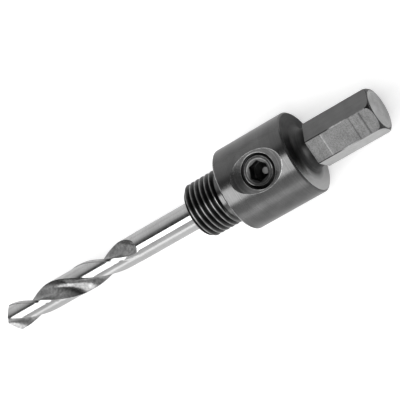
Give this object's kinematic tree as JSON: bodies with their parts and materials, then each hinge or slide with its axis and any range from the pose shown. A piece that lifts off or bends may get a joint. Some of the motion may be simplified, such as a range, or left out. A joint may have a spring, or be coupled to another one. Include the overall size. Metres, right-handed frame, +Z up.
{
  "type": "hole saw arbor",
  "caption": "Hole saw arbor with a hex shank, a round body with a threaded nose, a clamped twist pilot drill and a set screw.",
  "frame": {"origin": "on the table, under the middle of the arbor's overall length", "axes": "+X along the arbor's axis towards the hex shank, +Z up through the set screw, as the arbor lies on its round body"},
  "size_m": [0.101, 0.019, 0.019],
  "materials": {
    "gunmetal_steel": "turned and milled steel with a dark gunmetal finish",
    "bright_tool_steel": "bright ground high-speed steel",
    "black_oxide_steel": "black oxide"
  },
  "bodies": {
    "arbor": {"arbor_body": "gunmetal_steel"},
    "drill": {"pilot_drill": "bright_tool_steel"},
    "screw": {"set_screw": "black_oxide_steel"}
  },
  "joints": [
    {"name": "drill_slide", "type": "slide", "parent": "arbor", "child": "drill", "axis": [-1, 0, 0], "range_m": [0, 0.0254]},
    {"name": "set_screw_travel", "type": "slide", "parent": "arbor", "child": "screw", "axis": [0, 0, 1], "range_m": [0, 0.00282]}
  ]
}
